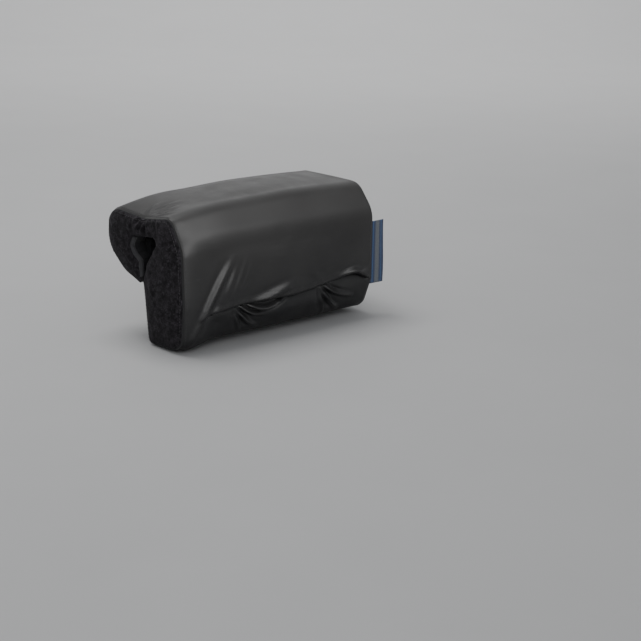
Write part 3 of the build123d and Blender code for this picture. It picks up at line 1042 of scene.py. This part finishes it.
def strap_webbing(name, y_low, y_high):
    """Webbing sewn under the lip and hanging down over the long lobe's back."""
    under = np.array([-0.9462, 0.0, 0.3236])
    below = np.array([-0.3236, 0.0, -0.9462])
    corner = np.array([-0.0012, 0.0, -0.0393])
    line = [corner + under * (0.0145 - 0.0015 * k) + below * 0.0011 for k in range(8)]
    line += [corner + under * 0.0018 + below * 0.0014, corner + under * 0.0004 + below * 0.0024]
    line += [on_back(0, 0.0022 + 0.0016 * k, STRAP_OUT - 0.0001) for k in range(26)]
    line = np.array(line)
    line[1:-1] = (line[:-2] + 2 * line[1:-1] + line[2:]) / 4
    widths = np.linspace(y_low, y_high, 27)
    points = np.repeat(line[:, None], len(widths), 1)
    points[..., 1] = widths
    face = np.cross(unit(np.gradient(line, axis=0)), [0.0, -1.0, 0.0])
    across = (widths - widths.mean()) / (widths[-1] - widths[0]) * 2
    rib = 0.00016 * np.cos(across * math.pi * 7)
    thin = 0.35 * np.clip((np.abs(across) - 0.9) / 0.1, 0, 1)
    half = face[:, None] * (WEBBING / 2 * (1 - thin) + rib)[None, :, None]
    shell = np.concatenate([points + half, (points - half)[:, ::-1]], 1)
    n, m = shell.shape[:2]
    uv = np.stack([np.repeat(run_along(line)[:, None], m, 1), shell[..., 1]], -1)
    return mesh_object(name, shell, ring_faces(n, m), WEBBING_CLOTH, uv)


for end in ("front", "rear"):
    body = f"strap_{end}"
    low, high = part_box(f"strap_{end}")
    webbing = strap_webbing(f"{body}_webbing", low.y, high.y)
    at = on_back(0, 0, STRAP_OUT)
    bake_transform(webbing, "outer_flap", body, start=tuple(at - DOWN * 0.0005), end=tuple(at + DOWN * 0.004))
    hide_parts(body)
    sewn = frame_of_stitches(f"{body}_stitches", low.y + 0.003, high.y - 0.003, 0.0085, 0.0375,
                             STRAP_OUT + WEBBING / 2 + 0.0002, cross=True)
    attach(sewn, body)
    low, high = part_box(f"hook_patch_{end}")
    hook = slab(f"{body}_hook", (low.y, high.y), (0.006, 0.040), (0.0017, 0.0032), HOOK, wave=0.0001)
    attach(hook, body)
    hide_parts(f"hook_patch_{end}")
    low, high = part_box(f"loop_patch_{end}")
    loop = slab(f"loop_{end}", (low.y, high.y), (0.004, 0.044), (-0.0002, 0.0014), LOOP, wave=0.00015)
    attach(loop, "pad_body")
    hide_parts(f"loop_patch_{end}")
    edging = frame_of_stitches(f"loop_{end}_stitches", low.y + 0.0018, high.y - 0.0018,
                               0.0058, 0.0422, 0.0013)
    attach(edging, "pad_body")


# ---- zip
tapes_low, tapes_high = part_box("zip_tapes")
ZIP_DOWN = 0.056         # the zip's middle, down from the lip
ZIP_LEVEL = -0.0015      # and out from the lobe's back
COIL_PITCH = 0.0014
for side, way in (("upper", -1), ("lower", 1)):
    downs = sorted((ZIP_DOWN + way * 0.0021, ZIP_DOWN + way * 0.0100))
    tape = slab(f"zip_tape_{side}", (tapes_low.y, tapes_high.y), downs,
                (ZIP_LEVEL - 0.0003, ZIP_LEVEL + 0.0002), ZIP_TAPE, 0.0001, 0.00008)
    turns = round((coils_high.y - coils_low.y) / COIL_PITCH)
    turned = np.arange(turns * 9 + 1) / 9
    angle = 2 * math.pi * turned
    spiral = on_back(coils_low.y + (coils_high.y - coils_low.y) * turned / turns,
                     ZIP_DOWN + way * (0.00152 + 0.00066 * np.cos(angle)),
                     ZIP_LEVEL + 0.00085 * np.sin(angle))
    coil = cord(f"zip_coil_{side}", spiral, 0.00030, 5, NYLON)
    filling = on_back(np.linspace(coils_low.y, coils_high.y, 120), ZIP_DOWN + way * 0.0017, ZIP_LEVEL)
    coil_cord = cord(f"zip_coil_cord_{side}", filling, 0.00045, 6, ZIP_TAPE)
    for piece, slot_name in ((tape, "zip_tape"), (coil, "zip_coil"), (coil_cord, "zip_tape")):
        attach(piece, "pad_body")
    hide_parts("zip_tapes")
    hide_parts("zip_coils")

HEM_LEVEL = 0.0001
hem_y = SLOT_ENDS[0] - 0.0008, SLOT_ENDS[1] + 0.0008
hem_down = ZIP_DOWN - 0.0072, ZIP_DOWN + 0.0072
hem = [sewn_line((hem_y[0], down), (hem_y[1], down), HEM_LEVEL, 90) for down in hem_down]
hem += [sewn_line((y, hem_down[0]), (y, hem_down[1]), HEM_LEVEL, 12) for y in hem_y]
zip_hem = stitches("zip_stitches", hem, 0.0032, 0.0023, 0.00026)
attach(zip_hem, "pad_body")

for name in ("zip_slider", "zip_pull", "zip_stops"):
    part = frame["nodes"][name]
    part.data.materials.clear()
    part.data.materials.append(METAL)
    softened = part.modifiers.new("edges", "BEVEL")
    softened.width, softened.segments, softened.limit_method = 0.00018, 2, "ANGLE"


# ---- label
def label():
    """A ribbon folded over at its free end, with both tails caught in the rear seam."""
    low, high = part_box("label_tab")
    middle_x = (low.x + high.x) / 2
    start_y = low.y + 0.0002
    length = high.y - start_y
    count = 14
    line = [(-1, k / count) for k in range(count + 1)]
    line += [(math.cos(math.pi * (1 - k / 6)), 1 + 0.02 * math.sin(math.pi * k / 6)) for k in range(1, 6)]
    line += [(1, 1 - k / count) for k in range(count + 1)]
    side, t = np.array(line).T[..., None]
    flat_t = np.minimum(t, 1)
    heights = np.linspace(low.z, high.z, 44)
    gap = 0.00030 + 0.00035 * np.sin(math.pi * flat_t) ** 2
    ripple = 0.0011 * np.sin((heights - low.z) / 0.021 + 0.7) * flat_t ** 1.5
    points = np.stack(np.broadcast_arrays(
        middle_x + side * gap + ripple, start_y + length * 0.96 * t, heights), -1)
    uv = np.stack(np.broadcast_arrays(flat_t, (heights - low.z) / (high.z - low.z) * 3.6), -1)
    faces = grid_faces(*points.shape[:2])[:, ::-1]
    return thicken(mesh_object("label", points, faces, LABEL, uv), 0.00022)


tag = label()
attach(tag, "label_tab")
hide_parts("label_tab")


# ---- floor, light and camera
pad_pieces = bpy.data.collections.new("pad_pieces")
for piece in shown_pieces():
    pad_pieces.objects.link(piece)


def sweep():
    """A pale floor that curves up into a wall far behind."""
    edge = [(-6.0, FLOOR_Z), (3.0, FLOOR_Z)]
    edge += [(3.0 + 1.5 * math.sin(a), FLOOR_Z + 1.5 - 1.5 * math.cos(a))
             for a in np.linspace(0.1, math.pi / 2, 14)]
    edge.append((4.5, FLOOR_Z + 5))
    turn = math.radians(47.5)
    ahead = np.array([-math.sin(turn), math.cos(turn)])
    beside = np.array([math.cos(turn), math.sin(turn)])
    points = [(*(ahead * along + beside * across), z) for along, z in edge for across in (-6.0, 6.0)]
    faces = [(2 * i, 2 * i + 1, 2 * i + 3, 2 * i + 2) for i in range(len(edge) - 1)]
    return mesh_object("floor", points, faces, PALE_FLOOR)


sweep()
for name, at, target, size, watts, pad_only in (
    ("key", (0.95, 0.25, 1.15), (0.0, -0.05, 0.0), (1.1, 1.0), 13, True),
    ("side", (1.4, -0.35, 0.45), (0.08, -0.10, 0.0), (1.0, 0.8), 12, True),
    ("rear_overhead", (-1.0, 1.3, 1.2), (0.0, 0.1, 0.0), (1.8, 1.2), 2.8, True),
    ("outer_side", (-1.4, -0.35, 0.35), (0.0, 0.0, 0.0), (1.0, 0.8), 4.0, True),
    ("overhead", (-0.45, -0.1, 1.6), (0.0, 0.0, 0.0), (1.0, 1.0), 14, False),
    ("front_fill", (1.2, -1.2, 0.8), (0.0, 0.0, 0.0), (1.0, 1.0), 2.5, False),
    ("backdrop", (-1.6, 1.5, 2.4), (-3.2, 2.9, 0.6), (3.0, 1.0), 62, False),
):
    light = bpy.data.lights.new(name, "AREA")
    light.shape, light.size, light.size_y, light.energy = "RECTANGLE", *size, watts
    lamp = bpy.data.objects.new(name, light)
    lamp.location, lamp.rotation_mode = at, "QUATERNION"
    lamp.rotation_quaternion = (Vector(target) - Vector(at)).to_track_quat("-Z", "Y")
    if pad_only:
        lamp.light_linking.receiver_collection = pad_pieces
    bpy.context.scene.collection.objects.link(lamp)
world = bpy.data.worlds.new("studio")
world.use_nodes = True
backdrop = world.node_tree.nodes["Background"]
backdrop.inputs["Color"].default_value = (0.95, 0.97, 1.0, 1)
backdrop.inputs["Strength"].default_value = 0.30
bpy.context.scene.world = world

camera_data = bpy.data.cameras.new("camera")
camera = bpy.data.objects.new("camera", camera_data)
bpy.context.scene.collection.objects.link(camera)
camera_data.lens, camera_data.sensor_width = 92.7, 36
camera.matrix_world = (
    Matrix.Translation((1.6537, -1.3651, 0.4997))
    @ Matrix.Rotation(math.radians(47.54), 4, "Z")
    @ Matrix.Rotation(math.radians(90 - 16.09), 4, "X")
    @ Matrix.Rotation(math.radians(1.22), 4, "Z")
)
bpy.context.scene.camera = camera
